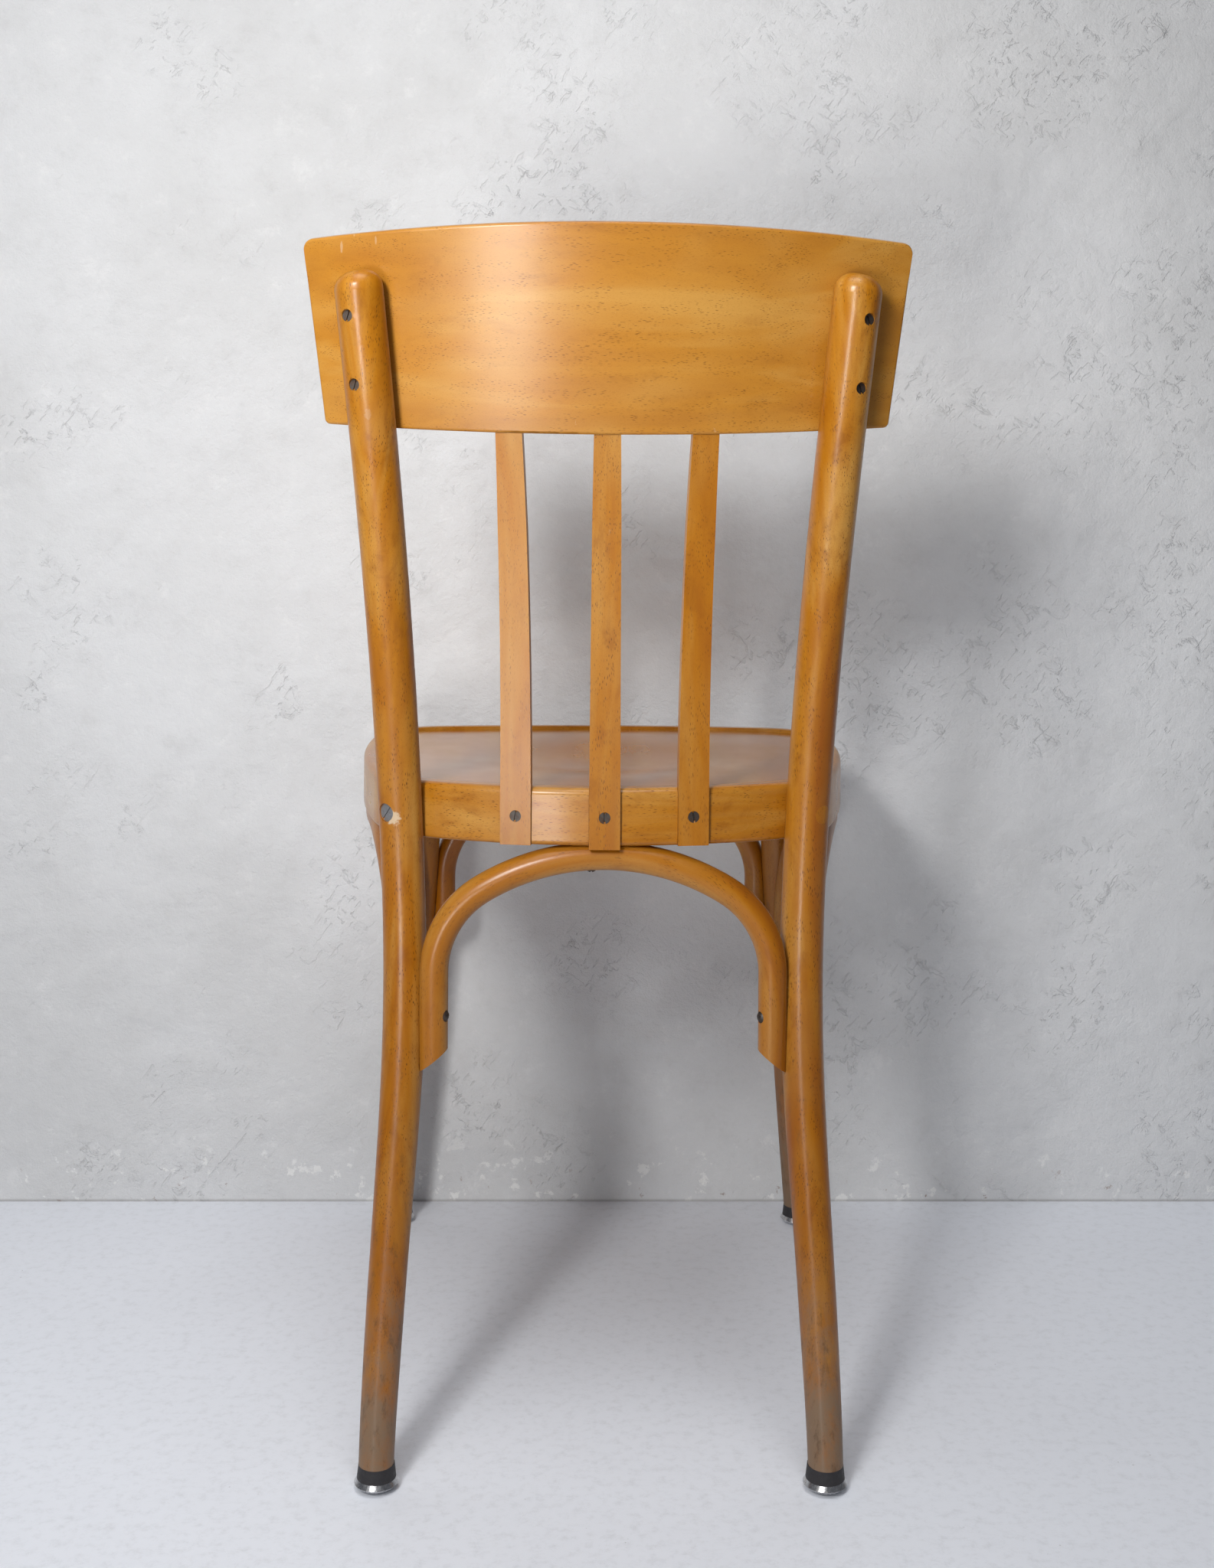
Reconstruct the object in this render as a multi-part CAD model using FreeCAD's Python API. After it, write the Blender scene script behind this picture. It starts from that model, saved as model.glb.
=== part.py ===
import FreeCAD, Part
import math
import os

# Bentwood bistro chair in millimetres. +Z is up, the sitter faces -Y, the sitter's left is +X.
# The origin is on the floor, midway between the front and rear feet.

# Stance
feetDepth = 457.0
rearFeetSpan = 297.0
frontFeetSpan = 366.0

# Seat ring
seatHeight = 457.0
seatDepth = 400.0
seatWidth = 394.0
ringSetback = 49.5
ringHeight = 40.0
ringWidth = 24.0
rimWidth = 13.0
rearRadius = 280.0
sideRadius = 800.0
frontRadius = 900.0
rearCornerRadius = 100.0
frontCornerRadius = 62.0
widestFromFront = 104.0
ringTopRound = 5.0
ringBottomRound = 3.0

# Seat panel
seatPanelThickness = 6.0
seatPanelDrop = 3.0
dishRadius = 150.0
dishDepth = 8.0
dishSetback = 208.0

# Rear posts
postHeight = 812.0
postFootDiameter = 23.4
postBendDiameter = 30.0
postSeatDiameter = 31.0
postTopDiameter = 32.8
postTopRound = 12.0
postTopSlope = 14.0
postBendHeight = 300.0
postBendSpan = 279.6
postBendForward = 71.0
postShinHeight = 150.0
postShinSpan = 290.0
postShinForward = 38.0
postPanelSpan = 318.0
postTopSpan = 336.0
postSeatSpan = 288.0
postRingNotch = 3.0
postPanelNotch = 4.0

# Back panel
panelRise = 26.4
panelDepth = 138.4
panelCrown = 16.5
panelTopWidth = 415.6
panelBottomWidth = 389.6
panelThickness = 11.0
panelRadius = 550.0
panelLean = 13.0
panelTopCorner = 7.0
panelBottomCorner = 4.0
panelEdgeRound = 2.0

# Slats
slatThickness = 6.2
slatRingWidth = 21.6
slatPanelWidth = 18.4
slatMiddleWidth = 20.0
slatTaperLength = 60.0
slatSpacing = 62.0
slatTurn = 9.0
slatProud = 3.0
slatCover = 2.6
slatTenon = 16.0
slatMiddleDrop = 2.0

# Front legs
frontLegTopDiameter = 31.0
frontLegFootDiameter = 23.4
frontLegCornerAngle = 26.5
frontLegSabre = 2.0
tenonDiameter = 15.0
tenonLength = 20.0

# Bows
bowDiameter = 20.0
bowFlat = 1.5
bowBite = 1.6
bowKneeRadius = 68.0
rearBowKneeDrop = 82.0
frontBowKneeDrop = 88.0
rearBowEndHeight = 258.0
frontBowEndHeight = 274.0
sideBowEndHeight = 266.0
sideBowKneeHeight = 374.0
sideBowKneeAhead = 21.0
sideBowArmTurn = 10.0
bowEndBevel = 38.0
bowScrewHeight = 297.0
sideBowScrewHeight = 322.0

# Glides
glideDiameter = 29.6
glideCapHeight = 7.5
glideRingHeight = 9.0
glideRingDiameter = 26.0
glideFlatDiameter = 9.0
glideBevel = 3.0
glideBulge = 1.0
nailDiameter = 3.2
nailLength = 24.0
nailInCap = 3.5

# Screws
screwShank = 4.0
screwHead = 8.0
slotWidth = 1.1
slotDepth = 1.2
boltShank = 7.0
boltHead = 13.0
domeHeight = 2.4
domeSeat = 0.8
panelScrewRecess = 2.0
boltRecess = 2.4
panelScrewReach = 8.0
slatScrewLength = 20.0
slatScrewRecess = 0.5
bowScrewReach = 17.0
boltReach = 17.0
panelScrewOut = 3.6
panelScrewLow = 32.0
panelScrewHigh = 35.0
apexScrewOffset = 9.0

# Clearances
fit = 0.3
pilotFit = 0.1

# Distance between the sections of each lofted rod
rodSpacing = 65.0
bowSpacing = 26.0

Vec = FreeCAD.Vector
rearFootY = feetDepth / 2
ringBottom = seatHeight - ringHeight
ringRearY = rearFootY - ringSetback
ringFrontY = ringRearY - seatDepth
rearCentre = Vec(0, ringRearY - rearRadius, 0)
frontCentre = Vec(0, ringFrontY + frontRadius, 0)
sideCentre = Vec(seatWidth / 2 - sideRadius, ringFrontY + widestFromFront, 0)
footHeight = glideCapHeight + glideRingHeight
panelTop = postHeight + panelRise
panelBottom = panelTop - panelDepth
bowRadius = bowDiameter / 2
nodes = {}


# Small helpers

def mirrored(shape):
    return shape.mirror(Vec(0, 0, 0), Vec(1, 0, 0))


def flipped(point):
    return Vec(-point.x, point.y, point.z)


def planeTurn(angle):
    # unit vector in plan, turned outwards from straight back
    return Vec(math.sin(math.radians(angle)), math.cos(math.radians(angle)), 0)


def towards(start, end):
    return (end - start).normalize()


def circlesMeet(first, firstRadius, second, secondRadius, side):
    # the crossing of two circles in plan, left or right of the line between their centres
    gap = second - first
    along = (firstRadius ** 2 - secondRadius ** 2 + gap.Length ** 2) / (2 * gap.Length)
    across = math.sqrt(firstRadius ** 2 - along ** 2)
    unit = towards(first, second)
    return first + unit * along + Vec(-unit.y, unit.x, 0) * across * side


def cutAll(shape, tools):
    for tool in tools:
        shape = shape.cut(tool)
    return shape


def slab(bottom, top):
    # a wide block between two heights, for trimming
    reach = seatWidth + seatDepth
    return Part.makeBox(2 * reach, 2 * reach, top - bottom, Vec(-reach, -reach, bottom))


# Screws: the head's face is at the point, and the shank runs along the direction

def driverSlot(point, direction, head):
    slot = Part.makeBox(slotWidth, head * 2, slotDepth, Vec(-slotWidth / 2, -head, 0))
    slot.Placement = FreeCAD.Placement(point, FreeCAD.Rotation(Vec(0, 0, 1), direction))
    return slot


def screw(point, direction, length, shank, head):
    depth = (head - shank) / 2
    body = Part.makeCone(head / 2, shank / 2, depth, point, direction)
    body = body.fuse(Part.makeCylinder(shank / 2, length, point, direction)).removeSplitter()
    return body.cut(driverSlot(point, direction, head))


def domeScrew(point, direction, length, shank, head):
    # a round head that stands proud of the point it is seated at
    ball = ((head / 2) ** 2 + domeHeight ** 2) / (2 * domeHeight)
    top = point - direction * domeHeight
    dome = Part.makeSphere(ball, top + direction * ball)
    dome = dome.common(Part.makeCylinder(head, domeHeight, top, direction))
    body = dome.fuse(Part.makeCylinder(shank / 2, length, point, direction))
    return body.cut(driverSlot(top, direction, head))


def domeHole(point, direction, length, shank, head):
    bore = Part.makeCylinder(shank / 2 + pilotFit, length + fit, point, direction)
    return bore.fuse(Part.makeCylinder(head / 2 + pilotFit, head, point, direction * -1))


def screwHole(point, direction, length, shank, head, recess):
    depth = (head - shank) / 2
    bore = Part.makeCylinder(shank / 2 + pilotFit, length + fit, point, direction)
    sink = Part.makeCone(head / 2 + pilotFit, shank / 2 + pilotFit, depth + pilotFit, point, direction)
    mouth = Part.makeCylinder(head / 2 + pilotFit, recess + head, point, direction * -1)
    return bore.fuse(sink).fuse(mouth)


# Seat ring outline: rear, side and front arcs joined by round corners

rearCorner = circlesMeet(rearCentre, rearRadius - rearCornerRadius,
                         sideCentre, sideRadius - rearCornerRadius, -1)
frontCorner = circlesMeet(frontCentre, frontRadius - frontCornerRadius,
                          sideCentre, sideRadius - frontCornerRadius, 1)


def cornerArc(corner, cornerRadius, first, firstRadius, second, secondRadius, inset):
    start = first + towards(first, corner) * (firstRadius - inset)
    end = second + towards(second, corner) * (secondRadius - inset)
    middle = corner + towards(corner, (start + end) * 0.5) * (cornerRadius - inset)
    return start, middle, end


def seatOutline(inset):
    rear = cornerArc(rearCorner, rearCornerRadius, rearCentre, rearRadius, sideCentre, sideRadius, inset)
    front = cornerArc(frontCorner, frontCornerRadius, sideCentre, sideRadius,
                      frontCentre, frontRadius, inset)
    # the front corner is met from the side arc, so its points run side to front
    side = sideCentre + towards(sideCentre, (rear[2] + front[0]) * 0.5) * (sideRadius - inset)
    half = [rear, (rear[2], side, front[0]), front]
    edges = [Part.Arc(flipped(rear[0]), Vec(0, ringRearY - inset, 0), rear[0]).toShape()]
    edges += [Part.Arc(*points).toShape() for points in half]
    edges.append(Part.Arc(front[2], Vec(0, ringFrontY + inset, 0), flipped(front[2])).toShape())
    for points in reversed(half):
        edges.append(Part.Arc(*[flipped(point) for point in reversed(points)]).toShape())
    return Part.Wire(edges)


def seatPrism(inset, bottom, top):
    prism = Part.Face(seatOutline(inset)).extrude(Vec(0, 0, top - bottom))
    prism.translate(Vec(0, 0, bottom))
    return prism


def flatEdges(shape, height):
    return [edge for edge in shape.Edges
            if all(abs(vertex.Z - height) < 0.01 for vertex in edge.Vertexes)]


# Centre lines of posts and legs

def curveThrough(points):
    curve = Part.BSplineCurve()
    curve.interpolate(points)
    return curve


def atHeight(curve, height):
    # the point and direction of a rising curve at one height, by halving
    low, high = curve.FirstParameter, curve.LastParameter
    for _ in range(40):
        middle = (low + high) / 2
        if curve.value(middle).z < height:
            low = middle
        else:
            high = middle
    return curve.value(low), Vec(*curve.tangent(low)[0])


def onFloor(foot, above):
    # where the line through two points of a leg would reach the floor
    return foot + (foot - above) * (foot.z / (above.z - foot.z))


def ringSection(point, along, side, radius):
    wire = Part.Wire([Part.makeCircle(radius)])
    wire.Placement = FreeCAD.Placement(point, FreeCAD.Rotation(side, Vec(), along, "ZXY"))
    return wire


def radiusAt(stations, height):
    # straight taper between the heights that have a diameter of their own
    for (low, start), (high, end) in zip(stations, stations[1:]):
        if height <= high:
            return (start + (end - start) * (height - low) / (high - low)) / 2
    return stations[-1][1] / 2


def taperedRod(curve, stations, growth):
    bottom = curve.StartPoint.z
    top = curve.EndPoint.z
    steps = round((top - bottom) / rodSpacing)
    sections = []
    for index in range(steps + 1):
        height = bottom + (top - bottom) * index / steps
        point, along = atHeight(curve, height)
        radius = radiusAt(stations, height) + growth
        sections.append(ringSection(point, along, Vec(1, 0, 0), radius))
    return Part.makeLoft(sections, True)


postStations = [(0.0, postFootDiameter), (postBendHeight, postBendDiameter),
                (seatHeight, postSeatDiameter), (postHeight, postTopDiameter)]
legStations = [(0.0, frontLegFootDiameter), (ringBottom, frontLegTopDiameter)]

# The slats rise upright from the ring and bend back to the lean of the panel
slatBend = (panelBottom - seatHeight) / math.sin(math.radians(panelLean))
slatSweep = slatBend * (1 - math.cos(math.radians(panelLean)))
slatRearY = ringRearY + slatProud
panelRearY = slatRearY + slatSweep + slatCover
leanSlope = math.tan(math.radians(panelLean))


def postBehindPanel(span, height):
    # centre of a post whose front is notched over the panel's rear face
    radius = radiusAt(postStations, height)
    axisY = panelRearY - panelRadius + (height - panelBottom) * leanSlope
    reach = panelRadius + radius - postPanelNotch
    return Vec(span / 2, axisY + math.sqrt(reach ** 2 - (span / 2) ** 2), height)


ringMiddle = (seatHeight + ringBottom) / 2
postSeatRadius = radiusAt(postStations, ringMiddle)
postRingReach = rearCornerRadius + postSeatRadius - postRingNotch
postSeat = Vec(postSeatSpan / 2,
               rearCorner.y + math.sqrt(postRingReach ** 2 - (postSeatSpan / 2 - rearCorner.x) ** 2),
               ringMiddle)
postFoot = Vec(rearFeetSpan / 2, rearFootY, footHeight)
postShin = Vec(postShinSpan / 2, rearFootY - postShinForward, postShinHeight)
postCurve = curveThrough([
    onFloor(postFoot, postShin),
    postShin,
    Vec(postBendSpan / 2, rearFootY - postBendForward, postBendHeight),
    postSeat,
    postBehindPanel(postPanelSpan, panelBottom),
    postBehindPanel(postTopSpan, postHeight)])

legTurn = Vec(math.sin(math.radians(frontLegCornerAngle)), -math.cos(math.radians(frontLegCornerAngle)), 0)
legTop = frontCorner + legTurn * (frontCornerRadius - ringWidth / 2) + Vec(0, 0, ringBottom)
legFoot = Vec(frontFeetSpan / 2, -feetDepth / 2, footHeight)
legMiddle = (legTop + legFoot) * 0.5 + Vec(-frontLegSabre, frontLegSabre, 0)
legCurve = curveThrough([onFloor(legFoot, legMiddle), legMiddle, legTop])


def rearPost(growth):
    return taperedRod(postCurve, postStations, growth)


def frontLeg(growth):
    return taperedRod(legCurve, legStations, growth)


# Back panel, built upright at its lower edge and leaned back

panelPlace = FreeCAD.Placement(Vec(0, panelRearY, panelBottom), FreeCAD.Rotation(Vec(1, 0, 0), -panelLean))
panelHeight = (panelTop - panelBottom) / math.cos(math.radians(panelLean))


def panelBand(outerGrowth, thickness, bottom, top):
    outer = Part.makeCylinder(panelRadius + outerGrowth, top - bottom, Vec(0, -panelRadius, bottom))
    inner = Part.makeCylinder(panelRadius - thickness, top - bottom, Vec(0, -panelRadius, bottom))
    return outer.cut(inner)


def panelFront():
    # the panel's outline seen from behind, as a block through the band
    low = panelBottomWidth / 2
    high = panelTopWidth / 2
    shoulder = panelHeight - panelCrown
    corners = [Vec(-low, 0, 0), Vec(low, 0, 0), Vec(high, 0, shoulder), Vec(-high, 0, shoulder)]
    edges = [Part.makeLine(corners[3], corners[0]),
             Part.makeLine(corners[0], corners[1]),
             Part.makeLine(corners[1], corners[2]),
             Part.Arc(corners[2], Vec(0, 0, panelHeight), corners[3]).toShape()]
    block = Part.Face(Part.Wire(edges)).extrude(Vec(0, panelRadius, 0))
    for height, radius in ((0, panelBottomCorner), (shoulder, panelTopCorner)):
        through = [edge for edge in flatEdges(block, height)
                   if abs(edge.Vertexes[0].Y - edge.Vertexes[1].Y) > panelRadius / 2]
        block = block.makeFillet(radius, through)
    block.translate(Vec(0, -panelRadius / 2, 0))
    return block


def backPanel():
    band = panelBand(0, panelThickness, 0, panelHeight)
    panel = band.common(panelFront())
    faces = [face for face in panel.Faces if face.Surface.TypeId == "Part::GeomCylinder"
             and abs(face.Surface.Radius - panelRadius) < panelThickness * 2]
    rims = [edge for face in faces for edge in face.Edges]
    panel = panel.makeFillet(panelEdgeRound, rims)
    panel.Placement = panelPlace
    return panel


def panelSeatCut():
    # what a post loses so that it lies on the panel's rear face
    cutter = panelBand(fit, panelThickness * 3, -fit, panelHeight + postTopRound)
    cutter = cutter.common(Part.makeBox(seatWidth * 2, panelRadius, panelHeight * 2,
                                        Vec(-seatWidth, -panelRadius / 2, -panelHeight / 2)))
    cutter.Placement = panelPlace
    return cutter


# Slats

def slat(offset, drop, growth):
    # one slat, upright in the ring, bent back above it, with a narrowed tenon in the panel
    bottom = ringBottom - drop - growth
    halfLean = math.radians(panelLean / 2)
    lean = math.radians(panelLean)
    edges = []
    ends = []
    for face in (slatRearY + growth, slatRearY - slatThickness - growth):
        radius = slatBend + slatRearY - face
        low = Vec(0, face, bottom)
        knee = Vec(0, face, seatHeight)
        middle = knee + Vec(0, 1 - math.cos(halfLean), math.sin(halfLean)) * radius
        end = knee + Vec(0, 1 - math.cos(lean), math.sin(lean)) * radius
        tip = end + Vec(0, math.sin(lean), math.cos(lean)) * (slatTenon + growth)
        edges += [Part.makeLine(low, knee), Part.Arc(knee, middle, end).toShape(), Part.makeLine(end, tip)]
        ends.append((low, tip))
    edges += [Part.makeLine(ends[0][0], ends[1][0]), Part.makeLine(ends[0][1], ends[1][1])]
    wire = Part.Wire(Part.__sortEdges__(edges))
    band = Part.Face(wire).extrude(Vec(slatRingWidth * 2, 0, 0))
    band.translate(Vec(-slatRingWidth, 0, 0))
    # the outline seen from behind
    stations = [(slatRingWidth, bottom), (slatRingWidth, seatHeight),
                (slatMiddleWidth, panelBottom - slatTaperLength),
                (slatPanelWidth, panelBottom), (slatPanelWidth, panelBottom + slatTenon * 2)]
    right = [Vec(width / 2 + growth, -panelRadius, height) for width, height in stations]
    left = [flipped(point) for point in reversed(right)]
    outline = Part.Face(Part.makePolygon(right + left + [right[0]])).extrude(Vec(0, 2 * panelRadius, 0))
    return placeSlat(band.common(outline), offset)


def placeSlat(piece, offset):
    # an outer slat turns with the ring and reaches back to the flatter curve of the panel
    if not offset:
        return piece
    pivot = Vec(0, slatRearY, seatHeight)
    reachBack = panelSag(offset) - ringSag(offset)
    piece.rotate(pivot, Vec(1, 0, 0), -math.degrees(math.atan2(reachBack, panelBottom - seatHeight)))
    piece.rotate(pivot, Vec(0, 0, 1), math.copysign(slatTurn, -offset))
    piece.translate(Vec(offset, ringSag(offset), 0))
    return piece


def panelSag(offset):
    return math.sqrt(panelRadius ** 2 - offset ** 2) - panelRadius


def ringSag(offset):
    # how far the ring's outer face lies ahead of its rearmost point
    return math.sqrt(rearRadius ** 2 - offset ** 2) - rearRadius


slatPlaces = {"slat_left": (slatSpacing, 0.0),
              "slat_middle": (0.0, slatMiddleDrop),
              "slat_right": (-slatSpacing, 0.0)}


def slatScrewPlace(offset):
    turn = math.copysign(slatTurn, offset) if offset else 0.0
    rear = planeTurn(turn)
    point = Vec(offset, slatRearY + ringSag(offset), ringMiddle) - rear * slatScrewRecess
    return point, rear * -1


# Bows

def bowHalf(apex, across, down, reach, kneeDrop, armEnd):
    # from the apex outwards: a wide top arc, a knee arc and a straight arm down to its end
    knee = apex + across * (reach - bowKneeRadius) + down * kneeDrop
    topRadius = (((reach - bowKneeRadius) ** 2 + kneeDrop ** 2 - bowKneeRadius ** 2)
                 / (2 * (kneeDrop - bowKneeRadius)))
    topCentre = apex + down * topRadius
    meet = topCentre + towards(topCentre, knee) * topRadius
    spring = knee + across * bowKneeRadius
    topMiddle = topCentre + towards(topCentre, (apex + meet) * 0.5) * topRadius
    kneeMiddle = knee + towards(knee, (meet + spring) * 0.5) * bowKneeRadius
    end = spring + down * (armEnd - kneeDrop)
    return [Part.Arc(apex, topMiddle, meet).toShape(),
            Part.Arc(meet, kneeMiddle, spring).toShape(),
            Part.makeLine(spring, end)]


def roundBow(apex, reach, kneeDrop, endHeight):
    # a bow in an upright plane across the chair
    down = Vec(0, 0, -1)
    right = bowHalf(apex, Vec(1, 0, 0), down, reach, kneeDrop, apex.z - endHeight)
    left = bowHalf(apex, Vec(-1, 0, 0), down, reach, kneeDrop, apex.z - endHeight)
    path = Part.Wire(Part.__sortEdges__(right + left))
    start = path.OrderedVertexes[0].Point
    section = Part.Face(Part.Wire([Part.makeCircle(bowRadius, start, Vec(0, 0, 1))]))
    bow = path.makePipe(section)
    return bow.cut(slab(ringBottom, seatHeight))


def bevelEnd(bow, end, inward):
    # the arm's tip is cut slanting, longest where it lies on the leg
    tip = end - inward * bowRadius
    block = Part.makeBox(bowDiameter * 3, bowDiameter * 3, bowDiameter * 2,
                         Vec(0, -bowDiameter * 1.5, -bowDiameter * 2))
    turn = FreeCAD.Rotation(inward, Vec(), Vec(0, 0, 1), "ZXY")
    slope = FreeCAD.Rotation(Vec(0, 1, 0), -bowEndBevel)
    block.Placement = FreeCAD.Placement(tip, turn.multiply(slope))
    return bow.cut(block)


def armReach(curve, stations, planeY):
    # half the distance between the two arms, each biting a little into its leg
    centre, _ = atHeight(curve, bowScrewHeight)
    spacing = radiusAt(stations, bowScrewHeight) + bowRadius - bowBite
    return centre.x - math.sqrt(spacing ** 2 - (centre.y - planeY) ** 2)


bowApexHeight = ringBottom - bowRadius + bowFlat
rearBowY = ringRearY - ringWidth / 2
frontBowY = ringFrontY + ringWidth / 2
rearReach = armReach(postCurve, postStations, rearBowY)
frontReach = armReach(legCurve, legStations, frontBowY)


def crossBow(planeY, reach, kneeDrop, endHeight, leg):
    bow = roundBow(Vec(0, planeY, bowApexHeight), reach, kneeDrop, endHeight)
    for sign in (1, -1):
        bow = bevelEnd(bow, Vec(sign * reach, planeY, endHeight), Vec(-sign, 0, 0))
    return cutAll(bow, [leg, mirrored(leg)])


def ringCentreX(y):
    # the ring's centre line under the side of the seat
    reach = sideRadius - ringWidth / 2
    return sideCentre.x + math.sqrt(reach ** 2 - (y - sideCentre.y) ** 2)


def underRing(y):
    return Vec(ringCentreX(y), y, bowApexHeight)


def sideArm(curve, stations, height, sign):
    # a point of a side bow's arm, on the outer front of a post (-1) or the outer back of a leg (1)
    centre, _ = atHeight(curve, height)
    spacing = radiusAt(stations, height) + bowRadius - bowBite
    turn = planeTurn(sideBowArmTurn)
    return centre + Vec(turn.x, sign * turn.y, 0) * spacing


def sideBowPath():
    # up the post, forward under the side of the ring, and down the front leg
    springHeight = bowScrewHeight + bowDiameter
    rearSpring = sideArm(postCurve, postStations, springHeight, -1)
    frontSpring = sideArm(legCurve, legStations, springHeight, 1)
    middleY = (rearSpring.y + frontSpring.y) / 2
    rearKneeY = rearSpring.y - sideBowKneeAhead
    frontKneeY = frontSpring.y + sideBowKneeAhead
    return [sideArm(postCurve, postStations, sideBowEndHeight, -1),
            rearSpring,
            Vec(ringCentreX(rearKneeY), rearKneeY, sideBowKneeHeight),
            underRing((rearSpring.y + middleY) / 2),
            underRing(middleY),
            underRing((frontSpring.y + middleY) / 2),
            Vec((ringCentreX(frontKneeY) + frontSpring.x) / 2, frontKneeY, sideBowKneeHeight),
            frontSpring,
            sideArm(legCurve, legStations, sideBowEndHeight, 1)]


def bentRod(points, radius):
    curve = curveThrough(points)
    length = curve.length()
    steps = round(length / bowSpacing)
    side = towards(points[0], points[-1]).cross(Vec(0, 0, 1))
    sections = []
    for index in range(steps + 1):
        at = curve.parameterAtDistance(length * index / steps)
        sections.append(ringSection(curve.value(at), Vec(*curve.tangent(at)[0]), side, radius))
    return Part.makeLoft(sections, True)


# The pieces

postLeft = rearPost(0)
postSpace = rearPost(fit)
legLeft = frontLeg(0)
legSpace = frontLeg(fit)
panelSpace = panelSeatCut()
slatSpaces = [slat(offset, drop, fit / 2) for offset, drop in slatPlaces.values()]


# Screw places on the left side: point, direction, length, shank, head, recess

def panelScrewPlaces():
    places = []
    for height in (panelBottom + panelScrewLow, postHeight - panelScrewHigh):
        centre, _ = atHeight(postCurve, height)
        radius = radiusAt(postStations, height)
        axis = Vec(0, panelRearY - panelRadius + (height - panelBottom) * leanSlope, height)
        rear = towards(axis, centre)
        out = Vec(rear.y, -rear.x, 0)
        depth = math.sqrt(radius ** 2 - panelScrewOut ** 2)
        point = centre + out * panelScrewOut + rear * (depth - panelScrewRecess)
        length = depth - panelScrewRecess + radius - postPanelNotch + panelScrewReach
        places.append((point, rear * -1, length, screwShank, screwHead, panelScrewRecess))
    return places


def boltPlace():
    turn = towards(rearCorner + Vec(0, 0, ringMiddle), postSeat)
    point = postSeat + turn * (postSeatRadius - boltRecess)
    length = 2 * postSeatRadius - boltRecess - postRingNotch + boltReach
    return point, turn * -1, length, boltShank, boltHead, boltRecess


def armScrewPlace(centre, curve):
    # through a bow's arm into its leg, at the same height
    leg, _ = atHeight(curve, centre.z)
    direction = towards(centre, leg)
    point = centre - direction * (bowRadius - domeSeat)
    length = 2 * bowRadius - bowBite - domeSeat + bowScrewReach
    return point, direction, length, screwShank, screwHead


def apexScrewPlace(x, y, reach):
    # up through the bow's apex into the ring
    point = Vec(x, y, bowApexHeight - bowRadius + domeSeat)
    length = 2 * bowRadius - bowFlat - domeSeat + reach
    return point, Vec(0, 0, 1), length, screwShank, screwHead


def boltPlug():
    # a wooden plug over the sunk bolt head, flush with the post
    point, direction = boltLeft[0], boltLeft[1]
    blank = Part.makeCylinder(boltHead / 2, boltRecess * 3, point - direction * pilotFit, direction * -1)
    return blank.common(postLeft)


def mirroredPlace(place):
    point, direction = place[0], place[1]
    return (flipped(point), flipped(direction)) + tuple(place[2:])


def screws(places):
    # a place with a recess takes a flat head, one without takes a round head
    return Part.Compound([screw(*place[:5]) if len(place) > 5 else domeScrew(*place) for place in places])


def holes(places):
    return [screwHole(*place) if len(place) > 5 else domeHole(*place) for place in places]


panelScrewsLeft = panelScrewPlaces()
boltLeft = boltPlace()
slatScrews = [slatScrewPlace(offset) + (slatScrewLength, screwShank, screwHead, slatScrewRecess)
              for offset, _ in slatPlaces.values()]
rearArmCentre = Vec(rearReach, rearBowY, bowScrewHeight)
frontArmCentre = Vec(frontReach, frontBowY, bowScrewHeight)
rearArmScrew = armScrewPlace(rearArmCentre, postCurve)
frontArmScrew = armScrewPlace(frontArmCentre, legCurve)
sideRearScrew = armScrewPlace(sideArm(postCurve, postStations, sideBowScrewHeight, -1), postCurve)
sideFrontScrew = armScrewPlace(sideArm(legCurve, legStations, sideBowScrewHeight, 1), legCurve)
apexReach = ringHeight / 2
sidePath = sideBowPath()
sideApex = sidePath[len(sidePath) // 2]
rearApexScrew = apexScrewPlace(apexScrewOffset, rearBowY, apexReach)
frontApexScrew = apexScrewPlace(apexScrewOffset, frontBowY, apexReach)
sideApexScrew = apexScrewPlace(sideApex.x, sideApex.y, apexReach)


def rearPostPiece():
    # the top slopes down outwards and is well rounded
    end, _ = atHeight(postCurve, postHeight)
    reach = postTopDiameter
    wedge = Part.makeBox(reach * 3, reach * 2, reach, Vec(-reach / 2, -reach, 0))
    inner = Vec(end.x - postTopDiameter / 2, end.y, postHeight)
    wedge.Placement = FreeCAD.Placement(inner, FreeCAD.Rotation(Vec(0, 1, 0), postTopSlope))
    post = postLeft.cut(wedge)
    post = post.makeFillet(postTopRound, flatRim(post))
    post = cutAll(post, [slab(-feetDepth, footHeight), panelSpace])
    post = post.cut(seatPrism(-fit, ringBottom - fit, seatHeight + fit))
    places = panelScrewsLeft + [boltLeft, rearArmScrew, sideRearScrew]
    return cutAll(post, holes(places) + [nailHole(*nailPlace(postCurve))])


def flatRim(rod):
    # the rim of a rod's upper end
    end = max(rod.Faces, key=lambda face: face.CenterOfMass.z)
    return end.Edges


def frontLegPiece():
    leg = cutAll(legLeft, [slab(-feetDepth, footHeight), slab(ringBottom, seatHeight)])
    tenon = Part.makeCylinder(tenonDiameter / 2, tenonLength + bowRadius, legTop - Vec(0, 0, bowRadius))
    leg = leg.fuse(tenon).removeSplitter()
    return cutAll(leg, holes([frontArmScrew, sideFrontScrew]) + [nailHole(*nailPlace(legCurve))])


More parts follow.
